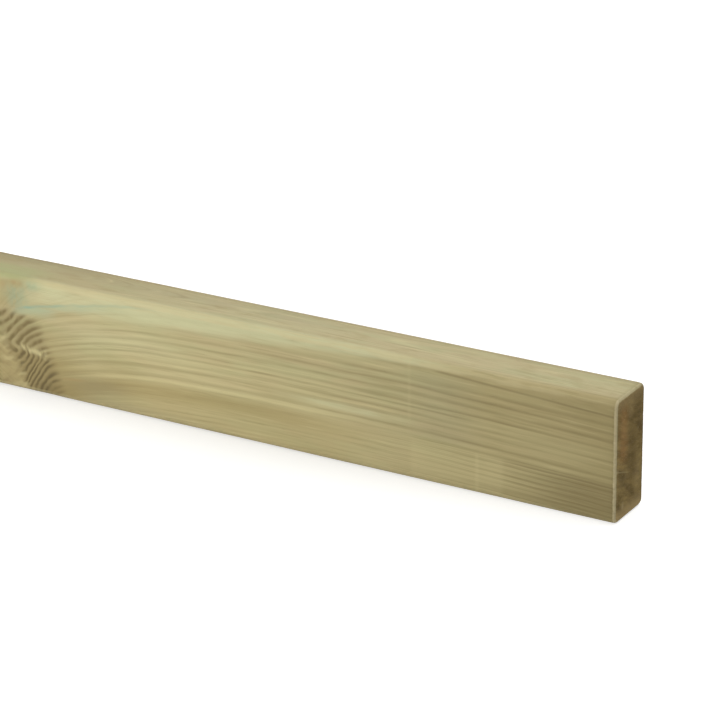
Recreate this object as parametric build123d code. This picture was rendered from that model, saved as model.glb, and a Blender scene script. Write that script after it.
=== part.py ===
from build123d import *

import os

# Planed softwood stud, one length of sawn timber: its four long edges are
# rounded over and both cut ends are eased. It stands on a narrow edge, as in
# a pile waiting to be used. X runs along it, Y through its thickness, +Z up,
# and the origin is under its middle, on the face that it stands on.

# Planed section, and the length that it is sold in
stud_thickness = 45
stud_height = 95
stud_length = 2400

# Round-over that the planer leaves on the four long edges
long_edge_radius = 5.5

# Softer easing of the edges around each cut end
end_edge_radius = 3


def rounded_section():
    """The planed section, standing on the ground, drawn at the stud's left end."""
    with BuildSketch(Plane.YZ.offset(-stud_length / 2)) as section:
        with Locations((0, stud_height / 2)):
            RectangleRounded(stud_thickness, stud_height, long_edge_radius)
    return section.sketch


def timber_stud():
    """The section run out to the full length, with the edges of both cut ends eased."""
    with BuildPart() as stud:
        extrude(rounded_section(), amount=stud_length)
        cut_ends = stud.faces().filter_by(Axis.X)
        fillet(cut_ends.edges(), end_edge_radius)
    stud.part.label = "timber_stud"
    return stud.part


os.makedirs("parts", exist_ok=True)
export_step(timber_stud(), "parts/timber_stud.step")
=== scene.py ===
import math

import bpy
from mathutils import Matrix, Vector


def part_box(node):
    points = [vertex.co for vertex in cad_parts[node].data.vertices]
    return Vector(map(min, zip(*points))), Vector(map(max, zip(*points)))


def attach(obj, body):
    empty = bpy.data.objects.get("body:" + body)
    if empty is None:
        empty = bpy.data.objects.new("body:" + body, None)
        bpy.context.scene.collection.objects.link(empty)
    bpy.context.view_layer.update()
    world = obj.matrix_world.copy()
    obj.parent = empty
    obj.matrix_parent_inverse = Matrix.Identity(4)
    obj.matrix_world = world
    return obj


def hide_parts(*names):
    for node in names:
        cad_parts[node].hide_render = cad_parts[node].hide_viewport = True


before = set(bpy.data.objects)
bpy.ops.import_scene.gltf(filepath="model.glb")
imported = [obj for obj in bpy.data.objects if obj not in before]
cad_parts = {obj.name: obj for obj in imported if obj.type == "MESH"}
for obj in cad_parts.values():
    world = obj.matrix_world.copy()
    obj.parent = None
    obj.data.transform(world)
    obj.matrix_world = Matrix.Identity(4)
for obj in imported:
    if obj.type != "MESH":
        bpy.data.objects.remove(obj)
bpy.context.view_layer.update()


# The planed stud. It is one length of softwood, sawn from the side of a slow-grown log and run
# through a planer that rounds its four long edges. A cross-cut saw squares the ends, and their
# edges are eased. The body is drawn as a box of fine rows, and every row is bent to that shape.

stud_low, stud_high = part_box("timber_stud")
stud_length, stud_thickness, stud_height = stud_high - stud_low

long_edge_radius = 0.0055
end_edge_radius = 0.003
rows_along = 290
rows_across = 46
rows_up = 96
finest_row = 0.001
rows_to_fan_out = 6
grain_depth = 0.00007
saw_depth = 0.00016


class Amount:
    """A number that a node tree works out, so that a rule for the timber can be written as a sum."""

    def __init__(self, tree, socket):
        self.tree = tree
        self.socket = socket

    def worked(self, how, *others):
        return worked(self.tree, how, self, *others)

    def __add__(self, other):
        return worked(self.tree, "ADD", self, other)

    def __radd__(self, other):
        return worked(self.tree, "ADD", other, self)

    def __sub__(self, other):
        return worked(self.tree, "SUBTRACT", self, other)

    def __rsub__(self, other):
        return worked(self.tree, "SUBTRACT", other, self)

    def __mul__(self, other):
        return worked(self.tree, "MULTIPLY", self, other)

    def __rmul__(self, other):
        return worked(self.tree, "MULTIPLY", other, self)

    def __truediv__(self, other):
        return worked(self.tree, "DIVIDE", self, other)

    def __pow__(self, other):
        return worked(self.tree, "POWER", self, other)

    def __neg__(self):
        return worked(self.tree, "MULTIPLY", self, -1)

    def size(self):
        return worked(self.tree, "ABSOLUTE", self)

    def root(self):
        return worked(self.tree, "SQRT", self)

    def at_least(self, other):
        return worked(self.tree, "MAXIMUM", self, other)

    def at_most(self, other):
        return worked(self.tree, "MINIMUM", self, other)

    def fade(self, start, end):
        """0 before start, 1 past end and a soft slope between; it falls where end is below start.
        The slope keeps to 0 and 1 unclamped, and with clamps the shader is too large to render."""
        node = self.tree.nodes.new("ShaderNodeMapRange")
        node.interpolation_type = "SMOOTHSTEP"
        node.clamp = False
        self.tree.links.new(self.socket, node.inputs["Value"])
        low, high = min(start, end), max(start, end)
        node.inputs["From Min"].default_value = low
        node.inputs["From Max"].default_value = high
        node.inputs["To Min"].default_value = 0 if start < end else 1
        node.inputs["To Max"].default_value = 1 if start < end else 0
        return Amount(self.tree, node.outputs["Result"])


def plug(tree, socket, value):
    """Feeds a socket with an Amount, with another socket or with a plain value."""
    if isinstance(value, Amount):
        tree.links.new(value.socket, socket)
    elif isinstance(value, bpy.types.NodeSocket):
        tree.links.new(value, socket)
    else:
        socket.default_value = value


def worked(tree, how, *values):
    node = tree.nodes.new("ShaderNodeMath")
    node.operation = how
    for socket, value in zip(node.inputs, values):
        plug(tree, socket, value)
    return Amount(tree, node.outputs[0])


def parted(tree, vector):
    """The three sides of a vector, as Amounts."""
    node = tree.nodes.new("ShaderNodeSeparateXYZ")
    tree.links.new(vector, node.inputs[0])
    return [Amount(tree, side) for side in node.outputs]


def joined(tree, along, across, up):
    """A vector socket from three sides."""
    node = tree.nodes.new("ShaderNodeCombineXYZ")
    for socket, value in zip(node.inputs, (along, across, up)):
        plug(tree, socket, value)
    return node.outputs[0]


def mottled(tree, along, across, up, detail=2.0, roughness=0.5):
    """Noise from 0 to 1 about one half, at a place whose sides are already divided by its grain size."""
    place = joined(tree, along, across, up)
    node = tree.nodes.new("ShaderNodeTexNoise")
    node.inputs["Scale"].default_value = 1.0
    node.inputs["Detail"].default_value = detail
    node.inputs["Roughness"].default_value = roughness
    tree.links.new(place, node.inputs["Vector"])
    return Amount(tree, node.outputs[0])


def new_tree(name, kind, takes, gives):
    """An empty node group with named, typed sockets."""
    tree = bpy.data.node_groups.new(name, kind)
    for sockets, side in ((takes, "INPUT"), (gives, "OUTPUT")):
        for label, sort in sockets.items():
            tree.interface.new_socket(label, in_out=side, socket_type="NodeSocket" + sort)
    return tree, tree.nodes.new("NodeGroupInput"), tree.nodes.new("NodeGroupOutput")


# How the log grew. Its pith ran just above the stud, so the rings cut the wide faces in long lines
# that crowd towards the bottom, and they swell round the knots that branches left. It is all in
# millimetres from the photographed end, and gives both the shape and the colour of the wood.

pith_across = 4.0
pith_height = 104.0
pith_droop = 5.5
droop_reach = 200.0
pith_wander = 20.0
half_length = stud_length * 500

# How far from the pith each year's growth ended. Most follow the lines in the photograph, and the
# rest are spaced on from them.
year_ends = (
    4.0, 9.5, 14.5, 19.5, 24.5, 29.6, 35.0, 39.2, 43.8, 49.1, 52.5, 57.0, 61.3,
    68.2, 73.3, 78.0, 81.7, 85.5, 89.5, 93.2, 96.6, 99.8, 103.0, 106.0, 109.0,
)

# Each branch: a place on its axis, the way it grew, its own radius, and how high and how far the
# rings swell round it. The first was fitted to the lines in the photograph, the rest are invented.
branches = (
    ((516.0, -22.5, -25.0), (44.5, 26.5, 127.0), 13.0, 96.0, 46.0),
    ((634.0, 22.5, 38.0), (30.0, -20.0, 64.0), 9.0, 46.0, 20.0),
    ((1075.0, -22.5, 31.0), (34.0, 25.0, 70.0), 8.0, 40.0, 18.0),
    ((1112.0, 10.0, 0.0), (30.0, -6.0, 96.0), 11.0, 52.0, 24.0),
    ((1540.0, 22.5, 55.0), (22.0, -18.0, 46.0), 7.0, 34.0, 16.0),
    ((1585.0, -22.5, 64.0), (20.0, 26.0, 38.0), 10.0, 40.0, 20.0),
    ((2040.0, -8.0, 0.0), (32.0, 10.0, 95.0), 9.0, 44.0, 20.0),
    ((2068.0, 22.5, 24.0), (30.0, -20.0, 76.0), 7.0, 30.0, 16.0),
)

# How blunt a swell is at its top, and the tighter swell inside it, as shares of the wide one
swell_bluntness = 1.7
tight_reach_share = 0.54
tight_swell_share = 0.22


def branch_tree(kind):
    """How far a place is from one branch's axis, and how far the rings swell there."""
    tree, given, found = new_tree(
        "branch", kind,
        {"Place": "Vector", "Axis Point": "Vector", "Axis Way": "Vector",
         "Swell": "Float", "Reach": "Float"},
        {"Distance": "Float", "Swelling": "Float"},
    )

    def vectors(how, first, second):
        node = tree.nodes.new("ShaderNodeVectorMath")
        node.operation = how
        plug(tree, node.inputs[0], first)
        plug(tree, node.inputs[1], second)
        return node

    way = vectors("NORMALIZE", given.outputs["Axis Way"], (0, 0, 0)).outputs[0]
    offset = vectors("SUBTRACT", given.outputs["Place"], given.outputs["Axis Point"]).outputs[0]
    aside = vectors("CROSS_PRODUCT", offset, way).outputs[0]
    distance = Amount(tree, vectors("LENGTH", aside, (0, 0, 0)).outputs["Value"])
    reach = Amount(tree, given.outputs["Reach"])
    swell = Amount(tree, given.outputs["Swell"])
    plug(tree, found.inputs["Distance"], distance)
    blunt = (distance * distance + reach * reach * swell_bluntness).root() / reach
    close = distance / (reach * tight_reach_share)
    wide_swell = swell * (-blunt).worked("EXPONENT")
    tight_swell = swell * tight_swell_share * (-(close * close)).worked("EXPONENT")
    plug(tree, found.inputs["Swelling"], wide_swell + tight_swell)
    return tree


def growth_tree(kind):
    """The ring that a place lies in, how far it is from the pith, and the knots near it."""
    tree, given, found = new_tree(
        "growth", kind,
        {"Place": "Vector"},
        {"From End": "Float", "Across": "Float", "Up": "Float", "Ring": "Float", "From Pith": "Float",
         "Knot": "Float", "Knot Ring": "Float", "Near Knot": "Float", "Big Knot": "Float"},
    )
    along, across, up = (side * 1000 for side in parted(tree, given.outputs["Place"]))
    from_end = half_length - along

    # Slow wander of the pith, a droop at the photographed end, and small waves of the fibres
    droop = ((droop_reach - from_end).at_least(0) / droop_reach) ** 1.5 * pith_droop
    far = from_end.fade(560, 900)
    sway = (mottled(tree, from_end / 420, 0.5, 0.5, 0) - 0.5) * far * pith_wander
    lift = (mottled(tree, from_end / 520, 7.5, 3.5, 0) - 0.5) * far * pith_wander
    wave = (mottled(tree, from_end / 85, across / 16, up / 16, 1) - 0.5) * 1.7
    ripple = (mottled(tree, from_end / 22, across / 5, up / 5, 1) - 0.5) * 0.6
    beside = across - pith_across - sway
    above = up - pith_height + droop - lift
    from_pith = (beside * beside + above * above).root() + wave + ripple

    swelling = 0.0
    nearest = 1000.0
    group_node = "GeometryNodeGroup" if kind == "GeometryNodeTree" else "ShaderNodeGroup"
    branch_group = branch_tree(kind)
    place = joined(tree, from_end, across, up)
    for number, (point, way, radius, swell, reach) in enumerate(branches):
        node = tree.nodes.new(group_node)
        node.node_tree = branch_group
        tree.links.new(place, node.inputs["Place"])
        node.inputs["Axis Point"].default_value = point
        node.inputs["Axis Way"].default_value = way
        node.inputs["Swell"].default_value = swell
        node.inputs["Reach"].default_value = reach
        swelling = Amount(tree, node.outputs["Swelling"]) + swelling
        clear = Amount(tree, node.outputs["Distance"]) - radius
        nearest = clear.at_most(nearest)
        if number == 0:
            big_knot = clear

    # Near a knot the fibres are thrown about, so the rings there are ragged
    near = nearest.fade(45, 5)
    ragged = mottled(tree, from_end / 8, across / 8, up / 8, 1) - 0.5
    ragged = ragged * near * (4 - up.fade(34, 46) * 2)
    ridge = 36.5 - (512 - from_end).at_least(0) * 0.25
    kink = from_end.fade(484, 514) * from_end.fade(540, 517) * across.fade(0, -12)
    kink = kink * (up - ridge).fade(4.5, -5) * 9
    grown = from_pith - swelling - kink + ragged
    reach = year_ends[-1]
    part_grown = grown / reach
    years = tree.nodes.new("ShaderNodeFloatCurve")
    years.mapping.extend = "EXTRAPOLATED"
    points = years.mapping.curves[0].points
    for year, end in enumerate(year_ends):
        if year == 0:
            points[0].location = (end / reach, 0)
        elif year == len(year_ends) - 1:
            points[-1].location = (1, 1)
        else:
            points.new(end / reach, year / (len(year_ends) - 1))
    years.mapping.update()
    plug(tree, years.inputs["Value"], part_grown)
    ring = Amount(tree, years.outputs[0]) * (len(year_ends) - 1)

    plug(tree, found.inputs["From End"], from_end)
    plug(tree, found.inputs["Across"], across)
    plug(tree, found.inputs["Up"], up)
    plug(tree, found.inputs["Ring"], ring)
    plug(tree, found.inputs["From Pith"], grown)
    plug(tree, found.inputs["Knot"], nearest.fade(0.8, -0.8))
    plug(tree, found.inputs["Knot Ring"], nearest)
    plug(tree, found.inputs["Near Knot"], near)
    plug(tree, found.inputs["Big Knot"], big_knot)
    return tree


def late_wood(ring):
    """0 in the pale wood of spring, rising to 1 in the hard dark line that closes each ring."""
    part = (ring + 0.62).worked("FRACT")
    return part.fade(0.2, 0.6) * part.fade(0.92, 0.64)


def stud_shape_tree():
    """A box of rows bent to the planed shape, with the rings, knots and saw scores cut into its skin."""
    tree, given, found = new_tree(
        "planed_stud", "GeometryNodeTree",
        {"Geometry": "Geometry", "Length": "Float", "Thickness": "Float", "Height": "Float",
         "Long Edge Radius": "Float", "End Edge Radius": "Float", "Rows Along": "Int",
         "Rows Across": "Int", "Rows Up": "Int", "Finest Row": "Float", "Rows To Fan Out": "Float",
         "Grain Depth": "Float", "Saw Depth": "Float", "Material": "Material"},
        {"Geometry": "Geometry"},
    )

    def step(kind, **feeds):
        node = tree.nodes.new("GeometryNode" + kind)
        for label, value in feeds.items():
            plug(tree, node.inputs[label.replace("_", " ")], value)
        return node

    def asked(label):
        return Amount(tree, given.outputs[label])

    length, thickness, height = asked("Length"), asked("Thickness"), asked("Height")
    long_radius, end_radius = asked("Long Edge Radius"), asked("End Edge Radius")
    box = step(
        "MeshCube",
        Size=joined(tree, length, thickness, height),
        Vertices_X=asked("Rows Along"),
        Vertices_Y=asked("Rows Across"),
        Vertices_Z=asked("Rows Up"),
    )
    along, across, up = parted(tree, tree.nodes.new("GeometryNodeInputPosition").outputs[0])
    half_long, half_thick, half_high = length / 2, thickness / 2, height / 2

    # The rows are close together at the ends, where the edges are eased, and fan out from there
    rows = (asked("Rows Along") - 1) / 2
    row = (1 - along.size() / half_long) * rows
    fan = asked("Rows To Fan Out")
    fine = asked("Finest Row")
    wide_row = (half_long - fine * fan) / (rows - fan)
    to_end = wide_row * row - (wide_row - fine) * fan * (1 - (-(row / fan)).worked("EXPONENT"))
    side = along.worked("SIGN")
    placed_along = side * (half_long - to_end)

    # How deep a place on a cut end lies inside the section's outline; it is 0 on the four faces
    inset = (half_thick - across.size()).at_most(half_high - up.size()).at_least(0)
    edge_along, edge_inset = to_end.at_least(end_radius), inset.at_least(end_radius)
    back_along, back_inset = to_end - edge_along, inset - edge_inset
    reach = (back_along * back_along + back_inset * back_inset).root()
    eased_along = edge_along + end_radius * back_along / reach
    eased_inset = edge_inset + end_radius * back_inset / reach

    # The section's outline at that depth, with its corners rounded
    thick, high = half_thick - eased_inset, half_high - eased_inset
    wide_place = across * thick / (half_thick - inset).at_least(0.0001)
    high_place = up * high / (half_high - inset).at_least(0.0001)
    corner = (long_radius - eased_inset).at_least(0)
    flat_thick, flat_high = thick - corner, high - corner
    core_across = wide_place.at_most(flat_thick).at_least(-flat_thick)
    core_up = high_place.at_most(flat_high).at_least(-flat_high)
    out_across, out_up = wide_place - core_across, high_place - core_up
    out = (out_across * out_across + out_up * out_up).root().at_least(0.000001)
    new_across = core_across + corner * out_across / out
    new_up = core_up + corner * out_up / out + half_high

    # The map that a baked finish is laid on: the four faces unrolled, and the cut ends beside them
    flat_normal = step("FieldOnDomain")
    flat_normal.data_type = "FLOAT_VECTOR"
    flat_normal.domain = "FACE"
    tree.links.new(tree.nodes.new("GeometryNodeInputNormal").outputs[0], flat_normal.inputs[0])
    facing = parted(tree, flat_normal.outputs[0])
    on_end = facing[0].size().worked("GREATER_THAN", 0.5)
    on_right = facing[0].worked("GREATER_THAN", 0.5)
    on_front = facing[1].worked("LESS_THAN", -0.5)
    on_top = facing[2].worked("GREATER_THAN", 0.5)
    on_back = facing[1].worked("GREATER_THAN", 0.5)
    on_bottom = facing[2].worked("LESS_THAN", -0.5)
    low_up, low_across = up + half_high, across + half_thick
    unrolled = (
        on_front * low_up
        + on_top * (height + low_across)
        + on_back * (height * 2 + thickness - low_up)
        + on_bottom * (height * 2 + thickness * 2 - low_across)
    ) / ((height + thickness) * 2)
    map_along = (placed_along / length + 0.5) * 0.996 + 0.002
    end_along = low_up / height * 0.47 + 0.01 + on_right * 0.5
    end_across = low_across / thickness * 0.085 + 0.907
    mapped = step("StoreNamedAttribute", Geometry=box.outputs["Mesh"], Name="OFBake")
    mapped.data_type = "FLOAT2"
    mapped.domain = "CORNER"
    placed = joined(
        tree,
        map_along * (1 - on_end) + end_along * on_end,
        (unrolled * 0.89 + 0.004) * (1 - on_end) + end_across * on_end,
        0.0,
    )
    tree.links.new(placed, mapped.inputs["Value"])

    shaped = step(
        "SetPosition",
        Geometry=mapped.outputs[0],
        Position=joined(tree, side * (half_long - eased_along), new_across, new_up),
    )

    # The skin: spring wood sinks between the hard lines, knots shrink, and the saw scores the ends
    growth = tree.nodes.new("GeometryNodeGroup")
    growth.node_tree = growth_tree("GeometryNodeTree")
    tree.links.new(tree.nodes.new("GeometryNodeInputPosition").outputs[0], growth.inputs["Place"])
    shown = {label: Amount(tree, growth.outputs[label]) for label in growth.outputs.keys()}
    along, across, up = shown["From End"], shown["Across"], shown["Up"]
    end_face = (along - half_length).size().fade(half_length - 0.9, half_length - 0.1)
    grain = (late_wood(shown["Ring"]) - 1) * asked("Grain Depth") * (1 + shown["Near Knot"])
    rim = shown["Knot Ring"].size().fade(2.5, 0)
    knots = (mottled(tree, along / 12, across / 12, up / 12, 2) - 1) * shown["Near Knot"] * 0.0003
    score = (up * 0.94 + across * 0.34) / 1.9 + mottled(tree, across / 9, up / 9, 0.5, 1) * 1.2
    score = score.worked("FRACT")
    tear = mottled(tree, across / 2.2, up / 3.4, along / 3, 3, 0.6).fade(0.52, 0.74)
    sawn = (score + tear * 1.6) * asked("Saw Depth") * -1
    skin = (grain + knots - rim * 0.00012) * (1 - end_face) + sawn * end_face
    outward = tree.nodes.new("ShaderNodeVectorMath")
    outward.operation = "SCALE"
    tree.links.new(tree.nodes.new("GeometryNodeInputNormal").outputs[0], outward.inputs[0])
    plug(tree, outward.inputs["Scale"], skin)
    cut = step("SetPosition", Geometry=shaped.outputs[0], Offset=outward.outputs[0])

    smooth = step("SetShadeSmooth", Geometry=cut.outputs[0])
    whole = step("RealizeInstances", Geometry=smooth.outputs[0])
    dressed = step("SetMaterial", Geometry=whole.outputs[0], Material=given.outputs["Material"])
    tree.links.new(dressed.outputs[0], found.inputs["Geometry"])
    return tree


# What pressure treatment and the planer leave on the wood: pale spring wood, darker lines, the green and
# blue-green of the salts, tan knots, rubbed arrises, and cut ends that drank more. Painted light and
# shade are laid in as well: a painted highlight along the front top arris, painted light on the bottom
# arris, and a strip of painted shade low on the front face.

def tint(red, green, blue):
    """A colour as it looks on a screen, 0 to 255, as the light that it sends back."""
    return tuple(
        (part / 255 / 12.92 if part < 10.3 else ((part / 255 + 0.055) / 1.055) ** 2.4)
        for part in (red, green, blue)
    ) + (1.0,)


spring_wood = tint(193, 182, 136)
pink_wood = tint(192, 177, 133)
green_wood = tint(186, 181, 134)
summer_wood = tint(140, 125, 82)
pale_stain = tint(210, 209, 165)
blue_stain = tint(136, 170, 152)
green_stain = tint(166, 176, 122)
copper_green = tint(148, 174, 142)
sage_wood = tint(176, 186, 150)
grey_wood = tint(150, 143, 114)
bright_streak = tint(216, 204, 152)
dull_wood = tint(168, 166, 138)
tan_wood = tint(191, 175, 124)
brown_wood = tint(158, 140, 91)
dark_wood = tint(121, 105, 68)
stroke_black = tint(96, 84, 58)
knot_heart = tint(168, 148, 104)
knot_rim = tint(112, 94, 62)
orange_wood = tint(178, 140, 88)
# Pale colour of the rubbed arrises, also used for the painted highlight and painted light on them
arris_rub_and_light_colour = tint(206, 192, 145)
end_olive = tint(166, 142, 87)
end_red = tint(182, 139, 84)
end_dark = tint(114, 94, 50)
end_pale = tint(200, 182, 136)
end_rim = tint(204, 178, 126)
end_black = tint(92, 76, 42)
worn_end = tint(232, 217, 172)


def painted(tree, share, first, second):
    """The first colour, turned into the second by a share from 0 to 1."""
    node = tree.nodes.new("ShaderNodeMix")
    node.data_type = "RGBA"
    plug(tree, node.inputs["Factor"], share)
    plug(tree, node.inputs[6], first)
    plug(tree, node.inputs[7], second)
    return node.outputs[2]


def band(amount, middle, half_width, soft):
    """1 within half a width of the middle, with soft flanks."""
    return (amount - middle).size().fade(half_width + soft, max(half_width - soft, 0))


def treated_softwood():
    material = bpy.data.materials.new("treated_softwood")
    material.use_nodes = True
    tree = material.node_tree
    surface = tree.nodes["Principled BSDF"]
    place = tree.nodes.new("ShaderNodeTexCoord").outputs["Object"]
    growth = tree.nodes.new("ShaderNodeGroup")
    growth.node_tree = growth_tree("ShaderNodeTree")
    tree.links.new(place, growth.inputs["Place"])
    shown = {label: Amount(tree, growth.outputs[label]) for label in growth.outputs.keys()}
    along, across, up = shown["From End"], shown["Across"], shown["Up"]
    ring, grown = shown["Ring"], shown["From Pith"]

    # Rings. The lines are faint in the young wood near the pith, and each year's differs in strength
    year = (ring + 0.4).worked("FLOOR")
    vigour = mottled(tree, year * 3.7, along / 260, 0.9, 0).fade(0.2, 0.8) * 0.45 + 0.66
    patchy = mottled(tree, along / 60, across / 9, up / 9, 2).fade(0.25, 0.6) * 0.5 + 0.5
    broken = mottled(tree, along / 8, across / 8, up / 12, 1).fade(0.34, 0.56) * 0.5 + 0.5
    grown_up = grown.fade(20, 36)
    quiet = along.fade(70, 200) * grown.fade(68, 74) * 0.75
    quiet = quiet + band(grown, 29.6, 2, 1) * along.fade(160, 145) * 0.7
    quiet = quiet + band(grown, 52.2, 1.4, 1) * along.fade(130, 105) * 0.6
    on_front = across.fade(-12, -20)
    low_stroke = up.fade(42, 28)
    stroke = shown["Big Knot"].fade(39, 27) * shown["Big Knot"].fade(-3, 5)
    stroke = stroke * on_front * (up - along.fade(500, 526) * 5).fade(65, 58)
    stroke = stroke * (1 - along.fade(535, 565) * up.fade(8, 40))
    soft_part = (ring + 0.62).worked("FRACT")
    soft_line = soft_part.fade(0.05, 0.55) * soft_part.fade(1, 0.62)
    plain = vigour * patchy * grown_up * (1 - quiet) * (1 - along.fade(200, 300) * 0.25)
    strength = plain * (1 - stroke) + stroke * broken * 0.9
    strength = strength * (1 - shown["Big Knot"].fade(9, 0) * along.fade(575, 548) * 0.6)
    strength = strength * (1 - up.fade(88, 94) * band(along, 510, 50, 20) * 0.6)
    slow_rings = ((grown / 1.35).worked("FRACT") - 0.5).size().fade(0.1, 0.42)
    slow_wood = grown.fade(71, 76) * along.fade(230, 150)
    lines = late_wood(ring) * strength + slow_rings * slow_wood * patchy * 0.3

    # Colour of the wood between the lines
    warm = mottled(tree, along / 60, across / 14, up / 14, 2).fade(0.38, 0.62)
    green = mottled(tree, along / 70 + 9, across / 16, up / 16, 2).fade(0.46, 0.64)
    green = green * (1 - along.fade(200, 60) * on_front * 0.8)
    colour = painted(tree, warm * 0.8, spring_wood, pink_wood)
    colour = painted(tree, green * 0.7, colour, green_wood)

    # The wood is browner low down, where the rings are close, and towards the photographed end. A strip
    # just above the bottom edge of the front face is darkened with painted shade.
    low_wood = band(grown, 81, 6, 5) * along.fade(170, 280)
    colour = painted(tree, low_wood * 0.55, colour, brown_wood)
    open_face = band(up, 44, 14, 22) * along.fade(150, 250) * on_front * shown["Big Knot"].fade(45, 110)
    colour = painted(tree, open_face * 0.3, colour, bright_streak)
    low_face = up.fade(40, 24) * on_front * along.fade(30, 80)
    colour = painted(tree, low_face * along.fade(170, 240) * 0.5, colour, tan_wood)
    near_end = along.fade(230, 60)
    colour = painted(tree, near_end * on_front * 0.54, colour, tan_wood)
    upper_end = along.fade(185, 110) * up.fade(52, 74) * on_front
    colour = painted(tree, upper_end * 0.22, colour, brown_wood)
    colour = painted(tree, low_face * along.fade(260, 180) * 0.26, colour, bright_streak)
    colour = painted(tree, along.fade(60, 0) * on_front * 0.3, colour, brown_wood)
    colour = painted(tree, up.fade(12, 6) * along.fade(300, 440) * on_front * 0.3, colour, grey_wood)
    # Painted shade: a dark strip just above the bottom edge of the front face, near the end
    low_painted_shade = band(up, 8, 2, 2) * band(along, 105, 65, 40) * on_front
    colour = painted(tree, low_painted_shade * 0.2, colour, dark_wood)
    young_wood = across.fade(-20, -14) * up.fade(84, 92) * along.fade(330, 520)
    colour = painted(tree, young_wood * 0.35, colour, brown_wood)
    corner = along.fade(95, 25) * up.fade(34, 24) * on_front
    colour = painted(tree, corner * (0.28 + up.fade(3, 12) * 0.13), colour, dark_wood)
    far_edge = across.fade(5, 19) * up.fade(60, 90)
    colour = painted(tree, far_edge * 0.3, colour, brown_wood)
    on_top = up.fade(88, 94)
    colour = painted(tree, on_top * (along.fade(140, 320) * 0.16 + 0.06), colour, grey_wood)
    colour = painted(tree, on_top * across.fade(4, 12) * along.fade(430, 490) * 0.34, colour, brown_wood)
    colour = painted(tree, on_top * across.fade(6, 14) * along.fade(430, 490) * 0.3, colour, grey_wood)
    weathered = mottled(tree, along / 26, across / 9, 0.5, 3, 0.6)
    colour = painted(tree, on_top * weathered.fade(0.5, 0.7) * 0.3, colour, brown_wood)
    colour = painted(tree, on_top * weathered.fade(0.46, 0.28) * 0.3, colour, green_wood)
    colour = painted(tree, across.fade(14, 19.5) * up.fade(86, 93) * 0.6, colour, dark_wood)
    dull_top = band(across, 5, 5, 6) * along.fade(190, 290) * on_top
    colour = painted(tree, dull_top * 0.2, colour, grey_wood)

    # Fine streaks that follow the rings
    streak = mottled(tree, grown / 1.3, along / 55, across / 30, 2, 0.6) - 0.5
    streak = streak * (1 - on_top * band(along, 515, 55, 25) * 0.7) + 0.5
    colour = painted(tree, streak.fade(0.5, 0.75) * 0.3, colour, summer_wood)
    colour = painted(tree, streak.fade(0.46, 0.25) * 0.35, colour, bright_streak)
    colour = painted(tree, (lines * 0.5).at_most(0.8), colour, summer_wood)
    knot_shade = shown["Big Knot"].fade(80, 28) * on_front * up.fade(72, 52)
    knot_shade = knot_shade * (1 - shown["Big Knot"].fade(6, -6) * up.fade(44, 36) * 0.4)
    colour = painted(tree, knot_shade * (0.38 + low_stroke * 0.3), colour, brown_wood)
    stroke_depth = soft_line * broken * 0.68 + 0.2 + low_stroke * 0.1
    colour = painted(tree, stroke * stroke_depth, colour, dark_wood)
    stroke_heart = soft_part.fade(0.3, 0.55) * soft_part.fade(0.9, 0.62) * broken
    colour = painted(tree, stroke * stroke_heart * (low_stroke * 0.4 + 0.08), colour, stroke_black)
    stroke_dusk = band(up, 47, 6, 6) * band(along, 510, 9, 9) * on_front
    colour = painted(tree, stroke_dusk * 0.28, colour, dark_wood)
    low_dusk = band(up, 6, 4, 5) * band(along, 492, 8, 10) * on_front
    colour = painted(tree, low_dusk * 0.35, colour, stroke_black)
    lumpy = mottled(tree, along / 10, across / 8, (up + along * 0.4) / 6, 1)
    lumpy_zone = shown["Big Knot"].fade(8, 0) * along.fade(575, 548) * up.fade(52, 44) * on_front
    colour = painted(tree, lumpy.fade(0.52, 0.7) * lumpy_zone * 0.4, colour, dark_wood)
    colour = painted(tree, lumpy.fade(0.5, 0.28) * lumpy_zone * 0.4, colour, bright_streak)

    # Pale wood along the front arris, and streaks where the salts went further into some rings
    cloud = mottled(tree, along / 30, across / 5, up / 5, 2).fade(0.22, 0.58)
    from_arris = ((across + 22.5) * (across + 22.5) + (up - 95) * (up - 95)).root()
    arris_width = along.fade(120, 470) * 17 + 4
    pale_arris = (from_arris / arris_width).fade(1.2, 0.6) * along.fade(100, 190) * (cloud * 0.4 + 0.6)
    pale_arris = pale_arris * (across.fade(-14, -21) * 0.94 + 0.06) * (1 - along.fade(482, 522) * 0.85)
    pale_arris = pale_arris * (1 - across.fade(-22.4, -20.5) * along.fade(320, 430) * 0.45)
    colour = painted(tree, pale_arris * 0.7, colour, pale_stain)
    pale_middle = band(grown, 64, 2.4, 2) * band(along, 228, 50, 26) * (cloud * 0.7 + 0.3)
    colour = painted(tree, pale_middle * 0.5, colour, pale_stain)
    blue_sway = (mottled(tree, along / 13, 0.5, 2.5, 1) - 0.5) * 3
    blue_path = up + ((along - 395).at_least(0) ** 1.33) * 0.0365 + blue_sway
    blue_line = band(blue_path, 91, 0.5, 1.5) * along.fade(382, 402) * along.fade(524, 506)
    blue_halo = band(blue_path, 88.5, 1.5, 3.5) * along.fade(395, 470) * along.fade(530, 510)
    colour = painted(tree, blue_halo * (cloud * 0.5 + 0.5) * on_front * 0.6, colour, sage_wood)
    cool_middle = band(up, 60, 8, 8) * band(along, 425, 55, 40) * on_front
    colour = painted(tree, cool_middle * 0.22, colour, pale_stain)
    blue_strength = (cloud * 0.5 + 0.5) * (along.fade(440, 495) * 0.34 + 0.45)
    blue_strength = blue_strength * (1 - band(along, 468, 5, 9) * 0.5)
    blue_strength = blue_strength * (1 - along.fade(484, 440) * 0.42)
    dusky = along.fade(503, 526) * up.fade(64, 72) * on_front
    colour = painted(tree, dusky * 0.36, colour, brown_wood)
    veil = band(along, 500, 14, 10) * band(up, 70.5, 4, 5) * on_front * (cloud * 0.4 + 0.6)
    colour = painted(tree, veil * 0.55, colour, sage_wood)
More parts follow.
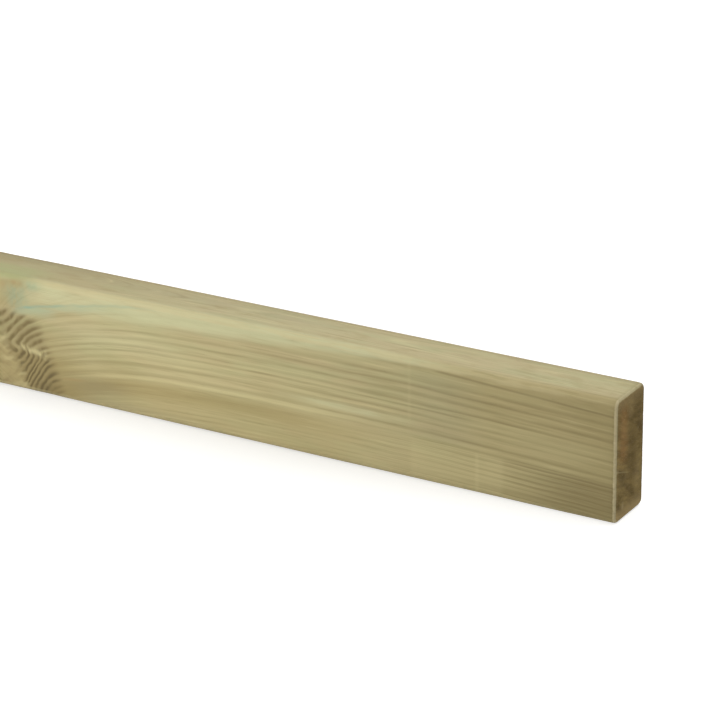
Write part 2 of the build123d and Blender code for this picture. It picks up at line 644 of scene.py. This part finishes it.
    colour = painted(tree, blue_line * blue_strength * on_front, colour, blue_stain)
    speckled = mottled(tree, along / 4, across / 5, up / 9, 2).fade(0.4, 0.58)
    blue_patch = band(along, 519, 7, 9) * band(up, 76, 7, 8) * on_front * (speckled * 0.6 + 0.4)
    colour = painted(tree, blue_patch * 0.34, colour, blue_stain)
    green_patch = band(along, 502, 7, 7) * band(up, 89.5, 2, 4) * on_front * (speckled * 0.4 + 0.6)
    colour = painted(tree, green_patch * 0.38, colour, copper_green)
    greenish = band(along, 517, 13, 9) * band(up, 87, 7, 6) * on_front * (speckled * 0.5 + 0.5)
    colour = painted(tree, greenish * 0.3, colour, copper_green)
    orange_patch = band(along, 519, 7, 7) * band(up, 90, 2, 4)
    orange_patch = orange_patch + band(along, 532, 3, 5) * band(up, 87, 3, 4) * 0.6
    colour = painted(tree, orange_patch * on_front * (speckled * 0.5 + 0.5) * 0.5, colour, orange_wood)
    green_top = along.fade(485, 525) * along.fade(620, 560) * across.fade(4, -8) * up.fade(90, 94)
    colour = painted(tree, green_top * (cloud * 0.6 + 0.4) * 0.5, colour, green_stain)
    tan_middle = band(along, 277, 22, 16) * band(up, 45, 4, 4)
    tan_middle = tan_middle + band(along, 425, 22, 20) * band(up, 39, 8, 6)
    colour = painted(tree, tan_middle * on_front * 0.26, colour, brown_wood)
    bright_line = band(grown, 71.6, 0.7, 1.4) * band(along, 325, 105, 60) * on_front
    colour = painted(tree, bright_line * 0.5, colour, bright_streak)
    brown = band(grown, 79, 4, 4) * band(along, 380, 110, 60)
    colour = painted(tree, brown * (0.34 + along.fade(385, 440) * 0.3), colour, brown_wood)
    low_brown = band(up, 16, 8, 6) * band(along, 445, 26, 24) * on_front
    colour = painted(tree, low_brown * 0.16, colour, brown_wood)
    colour = painted(tree, low_brown * 0.3, colour, grey_wood)
    red_line = band(up + (along - 470) * 0.12, 18.5, 0.8, 1.4) * band(along, 467, 9, 9) * on_front
    colour = painted(tree, red_line * 0.25, colour, orange_wood)

    # A dark line near the top at the end, and a strong one where the low brown corner begins
    dark_line = band(up - along * 0.05, 82.6, 0.5, 1.1) * along.fade(152, 138)
    colour = painted(tree, dark_line * on_front * (0.4 + along.fade(60, 20) * 0.06), colour, dark_wood)
    low_line = band(grown, 75.2, 0.4, 0.9) * along.fade(110, 60)
    colour = painted(tree, low_line * on_front * 0.5, colour, dark_wood)

    # A faint paler band across the face, where something lay on the wood
    pale_lines = band(along, 50, 34, 20) * band(up, 51, 8, 5) * on_front
    colour = painted(tree, pale_lines * 0.12, colour, bright_streak)
    low_patch = band(along, 98, 11, 10) * band(up, 22, 9, 6) * on_front
    colour = painted(tree, low_patch * 0.16, colour, bright_streak)
    dulled = band(along, 141, 24, 20) * up.fade(33, 38) * up.fade(90, 84) * on_front
    colour = painted(tree, dulled * 0.14, colour, dull_wood)
    covered = band(along, 128, 38, 3) * up.fade(34, 30) * 0.8
    covered = covered + band(along, 167, 0.6, 2) * up.fade(36, 56) * 0.4
    covered = covered + band(along, 111, 0.8, 2) * up.fade(34, 30) * 0.7
    colour = painted(tree, covered * on_front * 0.27, colour, bright_streak)

    # Knots: tan, with close rings of their own and a darker rim of bark
    knot_lines = (shown["Knot Ring"] / 1.6).worked("FRACT") ** 2
    knot_colour = painted(tree, knot_lines * 0.35, knot_heart, knot_rim)
    hidden_knot = along.fade(548, 575)
    colour = painted(tree, shown["Knot"] * hidden_knot * 0.7, colour, knot_colour)
    calm = shown["Big Knot"].fade(4, -7) * (1 - hidden_knot) * up.fade(60, 30)
    colour = painted(tree, calm * 0.3, colour, knot_heart)
    bark = shown["Knot Ring"].size().fade(1.3, 0.2) * hidden_knot
    colour = painted(tree, bark * 0.6, colour, knot_rim)
    ridge_height = 37 - (512 - along).at_least(0) * 0.25
    ridge_wave = (mottled(tree, along / 5, 0.5, 0.5, 1) - 0.5) * 7
    ridge_lumps = mottled(tree, along / 3.5, 4.5, up / 6, 1).fade(0.36, 0.6) * 0.7 + 0.3
    ridge = band(up, ridge_height + ridge_wave, 1.2, 2.6) * band(along, 505, 13, 9) * on_front
    colour = painted(tree, ridge * ridge_lumps * 0.62, colour, bright_streak)
    ridge_end = band(along, 497, 5, 7) * band(up, 35.5, 3, 4) * on_front * ridge_lumps
    colour = painted(tree, ridge_end * 0.4, colour, bright_streak)

    # Fibres and resin canals run along the stud
    fibre = mottled(tree, along / 28, across / 0.45, up / 0.45, 3, 0.6)
    colour = painted(tree, fibre.fade(0.52, 0.8) * 0.25, colour, summer_wood)
    canal = mottled(tree, along / 9, across / 0.32, up / 0.32, 1).fade(0.73, 0.8)
    colour = painted(tree, canal * 0.45, colour, knot_rim)

    # Arrises: paler partly from rubbing and partly from painted light, with a painted highlight along
    # the front top arris and painted light on the bottom arris
    half_thick, high = stud_thickness * 500, stud_height * 1000
    out_across = (across.size() - (half_thick - 5)).at_least(0) / 5
    out_up = ((up - high / 2).size() - (high / 2 - 5)).at_least(0) / 5
    arris = (out_across * out_up * 4).at_most(1)
    # Painted light: paler colour on the bottom arris of the front face
    painted_low_arris_light = up.fade(4.2, 0.8) * on_front
    rub = mottled(tree, along / 22, across / 3, up / 3, 3).fade(0.3, 0.6)
    # Painted highlight: a pale strip along the front top arris, over the middle of the visible length
    painted_arris_highlight = from_arris.fade(6, 1.5) * band(along, 410, 88, 50) * on_front * 0.4
    near_share = 1 - along.fade(90, 15) * 0.55
    # Rubbed wear, painted light and painted highlight, taken together for the arrises
    arris_rub_and_light = (arris * rub * near_share * 0.5).at_least(painted_low_arris_light * 0.42).at_least(painted_arris_highlight)
    by_knot = along.fade(493, 516) * along.fade(640, 590) * up.fade(70, 80)
    arris_rub_and_light = (arris_rub_and_light + from_arris.fade(5, 1) * band(along, 486, 8, 10) * 0.25) * (1 - by_knot * 0.8)
    colour = painted(tree, arris_rub_and_light, colour, arris_rub_and_light_colour)

    # Cut ends
    from_middle = (along - half_length).size()
    ragged_edge = (mottled(tree, across / 3, up / 3, 0.5, 2) - 0.5) * 1.2
    end_rub = (from_middle + ragged_edge).fade(half_length - 2.7, half_length - 1.6)
    worn = (mottled(tree, across / 2.5, up / 2.5, 3.5, 1) - 0.5) * 0.7
    end_rub = end_rub * (across.fade(6 - half_thick, 3 - half_thick) * 0.35 + 0.42 + worn)
    end_rub = end_rub * (1 - across.fade(15, 20) * 0.7)
    colour = painted(tree, end_rub.at_least(0), colour, worn_end)
    ragged_face = from_middle + ragged_edge * 0.2
    end_face = ragged_face.fade(half_length - 0.55, half_length - 0.2)
    blotch = mottled(tree, across / 26, (up + across * 0.35) / 12, along / 20, 4, 0.6)
    red_streak = band(across, -11, 5, 6) * up.fade(36, 54) * up.fade(94, 82)
    dark_middle = band(across, 3, 8, 9) * band(up, 52, 24, 18)
    end_colour = painted(tree, blotch.fade(0.38, 0.62), end_olive, end_dark)
    end_colour = painted(tree, dark_middle * 0.66, end_colour, end_dark)
    dark_back = band(across, 15, 3, 4) * band(up, 74, 12, 10)
    end_colour = painted(tree, dark_back * 0.4, end_colour, end_black)
    pale_rim = up.fade(80, 94) * 0.5 + up.fade(15, 2) * 0.9 + across.fade(-17, -21.5) * 0.28
    pale_rim = pale_rim + band(across, 0, 3, 5) * band(up, 80, 2, 6) * 0.3
    end_colour = painted(tree, red_streak * 0.6, end_colour, end_red)
    end_colour = painted(tree, late_wood(ring) * 0.25, end_colour, end_dark)
    fuzz = mottled(tree, (across + up * 0.35) / 3, (up + across * 0.35) / 0.5, along / 2, 2)
    end_colour = painted(tree, fuzz.fade(0.55, 0.75) * 0.3, end_colour, end_pale)
    on_right = along.fade(600, 500)
    scratch = band(up + across * 0.35, 33.3, 0.15, 0.6) * band(across, -11.5, 9, 3)
    scratch = scratch + band(across, -21, 2, 2.5) * band(up, 40.5, 1.2, 2)
    pale_spot = band(across, -10.5, 1.2, 1.8) * band(up, 10.5, 2, 3)
    end_colour = painted(tree, (scratch + pale_spot) * on_right * 0.55, end_colour, end_pale)
    dark_spots = band(across, -17, 1, 1.8) * band(up, 12, 1, 3)
    dark_spots = dark_spots + band(across, -12, 5, 5) * band(up + across * 0.35, 27.5, 5, 5)
    end_colour = painted(tree, dark_spots * on_right * 0.6, end_colour, end_black)
    light_spot = band(across, 12, 4, 5) * band(up, 27, 9, 9) * on_right
    end_colour = painted(tree, (pale_rim + light_spot * 0.28) * (0.6 + fuzz * 0.6), end_colour, end_rim)
    end_colour = painted(tree, across.fade(17, 20.5) * 0.4, end_colour, end_dark)
    colour = painted(tree, end_face, colour, end_colour)
    back_corner = from_middle.fade(half_length - 4, half_length - 2) * across.fade(17, 20)
    colour = painted(tree, back_corner * 0.45, colour, dark_wood)
    tree.links.new(colour, surface.inputs["Base Color"])

    # Finish: matt, a little smoother where the planer burnished the hard lines and the arrises
    roughness = 0.72 - lines * 0.12 - arris * 0.08 + end_face * 0.16 + (fibre - 0.5) * 0.12
    plug(tree, surface.inputs["Roughness"], roughness)
    surface.inputs["Specular IOR Level"].default_value = 0.2

    # Relief finer than the mesh
    bump = tree.nodes.new("ShaderNodeBump")
    bump.inputs["Strength"].default_value = 1.0
    bump.inputs["Distance"].default_value = 0.001
    open_end = mottled(tree, across / 0.7, up / 0.7, along / 1.5, 3, 0.65) * end_face
    height = lines * 0.05 + fibre * 0.08 + streak * 0.05 - canal * 0.05
    height = height - bark * 0.12 + open_end * 0.5
    plug(tree, bump.inputs["Height"], height)
    tree.links.new(bump.outputs["Normal"], surface.inputs["Normal"])
    return material


stud_material = treated_softwood()
shape_tree = stud_shape_tree()
rough_stock = bpy.data.objects.new("rough_stock", bpy.data.meshes.new("rough_stock"))
bpy.context.scene.collection.objects.link(rough_stock)
planer = rough_stock.modifiers.new("planer", "NODES")
planer.node_group = shape_tree
settings = {
    "Length": stud_length,
    "Thickness": stud_thickness,
    "Height": stud_height,
    "Long Edge Radius": long_edge_radius,
    "End Edge Radius": end_edge_radius,
    "Rows Along": rows_along,
    "Rows Across": rows_across,
    "Rows Up": rows_up,
    "Finest Row": finest_row,
    "Rows To Fan Out": float(rows_to_fan_out),
    "Grain Depth": grain_depth,
    "Saw Depth": saw_depth,
    "Material": stud_material,
}
for label, value in settings.items():
    planer[shape_tree.interface.items_tree[label].identifier] = value

bpy.context.view_layer.update()
shaped = rough_stock.evaluated_get(bpy.context.evaluated_depsgraph_get())
stud_mesh = bpy.data.meshes.new_from_object(shaped)
bpy.data.objects.remove(rough_stock)
stud = bpy.data.objects.new("planed_stud", stud_mesh)
bpy.context.scene.collection.objects.link(stud)
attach(stud, "root")
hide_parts("timber_stud")


# The studio. A broad white floor in an even pale room, under soft round lamps: one low and close
# at the front, and larger ones above, at the back and by the far half of the stud.

floor_mesh = bpy.data.meshes.new("studio_floor")
floor_half = 12.0
floor_height = -0.0002
floor_corners = ((-1, -1), (1, -1), (1, 1), (-1, 1))
floor_places = [(x * floor_half, y * floor_half, floor_height) for x, y in floor_corners]
floor_mesh.from_pydata(floor_places, [], [(0, 1, 2, 3)])
studio_floor = bpy.data.objects.new("studio_floor", floor_mesh)
bpy.context.scene.collection.objects.link(studio_floor)


def seen_as_background(tree):
    """1 for the rays that show the room itself, seen straight, mirrored or through something clear."""
    rays = tree.nodes.new("ShaderNodeLightPath").outputs
    straight = Amount(tree, rays["Is Camera Ray"])
    mirrored = Amount(tree, rays["Is Glossy Ray"])
    clear = Amount(tree, rays["Is Transmission Ray"])
    return straight.at_least(mirrored).at_least(clear)


def floor_paint():
    material = bpy.data.materials.new("floor_paint")
    material.use_nodes = True
    tree = material.node_tree
    tree.nodes.remove(tree.nodes["Principled BSDF"])
    seen = seen_as_background(tree)
    matt = tree.nodes.new("ShaderNodeBsdfDiffuse")
    matt.inputs["Color"].default_value = (0.62, 0.62, 0.61, 1)
    glow = tree.nodes.new("ShaderNodeEmission")
    along, across, _ = parted(tree, tree.nodes.new("ShaderNodeTexCoord").outputs["Object"])
    from_stud = (across * across + (along - 0.8) * (along - 0.8)).root()
    plug(tree, glow.inputs["Strength"], seen * (from_stud.fade(0.05, 0.9) * 0.5 + 0.52))
    both = tree.nodes.new("ShaderNodeAddShader")
    tree.links.new(matt.outputs[0], both.inputs[0])
    tree.links.new(glow.outputs[0], both.inputs[1])
    tree.links.new(both.outputs[0], tree.nodes["Material Output"].inputs["Surface"])
    return material


floor_mesh.materials.append(floor_paint())

world = bpy.data.worlds.new("studio_room")
bpy.context.scene.world = world
world.use_nodes = True
room = world.node_tree
backdrop = room.nodes["Background"]
seen = seen_as_background(room)
backdrop.inputs["Color"].default_value = (1, 1, 1, 1)
plug(room, backdrop.inputs["Strength"], seen * 0.73 + 0.27)


def soft_lamp(name, spot, aim, width, watts):
    lamp = bpy.data.lights.new(name, "AREA")
    lamp.shape = "DISK"
    lamp.size = width
    lamp.energy = watts
    holder = bpy.data.objects.new(name, lamp)
    bpy.context.scene.collection.objects.link(holder)
    holder.location = spot
    holder.rotation_euler = (Vector(aim) - Vector(spot)).to_track_quat("-Z", "Y").to_euler()


soft_lamp("low_front_lamp", (0.7, -0.6, 0.25), (0.75, 0, 0.05), 0.5, 1.72)
soft_lamp("far_front_lamp", (-1.2, -1.4, 0.9), (-0.72, 0, 0.05), 1.6, 20.0)
soft_lamp("top_lamp", (1.6, 0.3, 1.8), (1.1, 0, 0.05), 1.2, 11.6)
soft_lamp("far_top_lamp", (-0.8, 0.3, 2.2), (-0.6, 0, 0.05), 1.6, 9.0)
soft_lamp("back_lamp", (0, 2.4, 1.0), (0, 0, 0.05), 2.0, 30.0)


# The camera stands a little over two metres off, turned towards the cut end and looking down on it,
# with a long lens. The picture's left edge cuts the stud off, as in the photograph.

camera_turn = math.radians(30.95)
camera_rise = math.radians(21.93)
camera_roll = math.radians(-0.73)
camera_distance = 22.827 * stud_height
picture_side = 720
lens_in_pixels = 3120
corner_seen = (617.37, 402.22)

back = Vector((
    math.sin(camera_turn) * math.cos(camera_rise),
    -math.cos(camera_turn) * math.cos(camera_rise),
    math.sin(camera_rise),
))
right = Vector((math.cos(camera_turn), math.sin(camera_turn), 0))
turned = Matrix((right, back.cross(right), back)).transposed()
turned = turned @ Matrix.Rotation(camera_roll, 3, "Z")
to_corner = Vector((
    (corner_seen[0] - picture_side / 2) * camera_distance / lens_in_pixels,
    (picture_side / 2 - corner_seen[1]) * camera_distance / lens_in_pixels,
    -camera_distance,
))
near_corner = Vector((stud_high.x, stud_low.y, stud_high.z))
lens = bpy.data.cameras.new("camera")
lens.sensor_width = 36
lens.lens = lens_in_pixels * lens.sensor_width / picture_side
lens.clip_end = 100
camera = bpy.data.objects.new("camera", lens)
bpy.context.scene.collection.objects.link(camera)
camera.matrix_world = Matrix.Translation(near_corner - turned @ to_corner) @ turned.to_4x4()
bpy.context.scene.camera = camera
bpy.context.scene.view_settings.view_transform = "Standard"
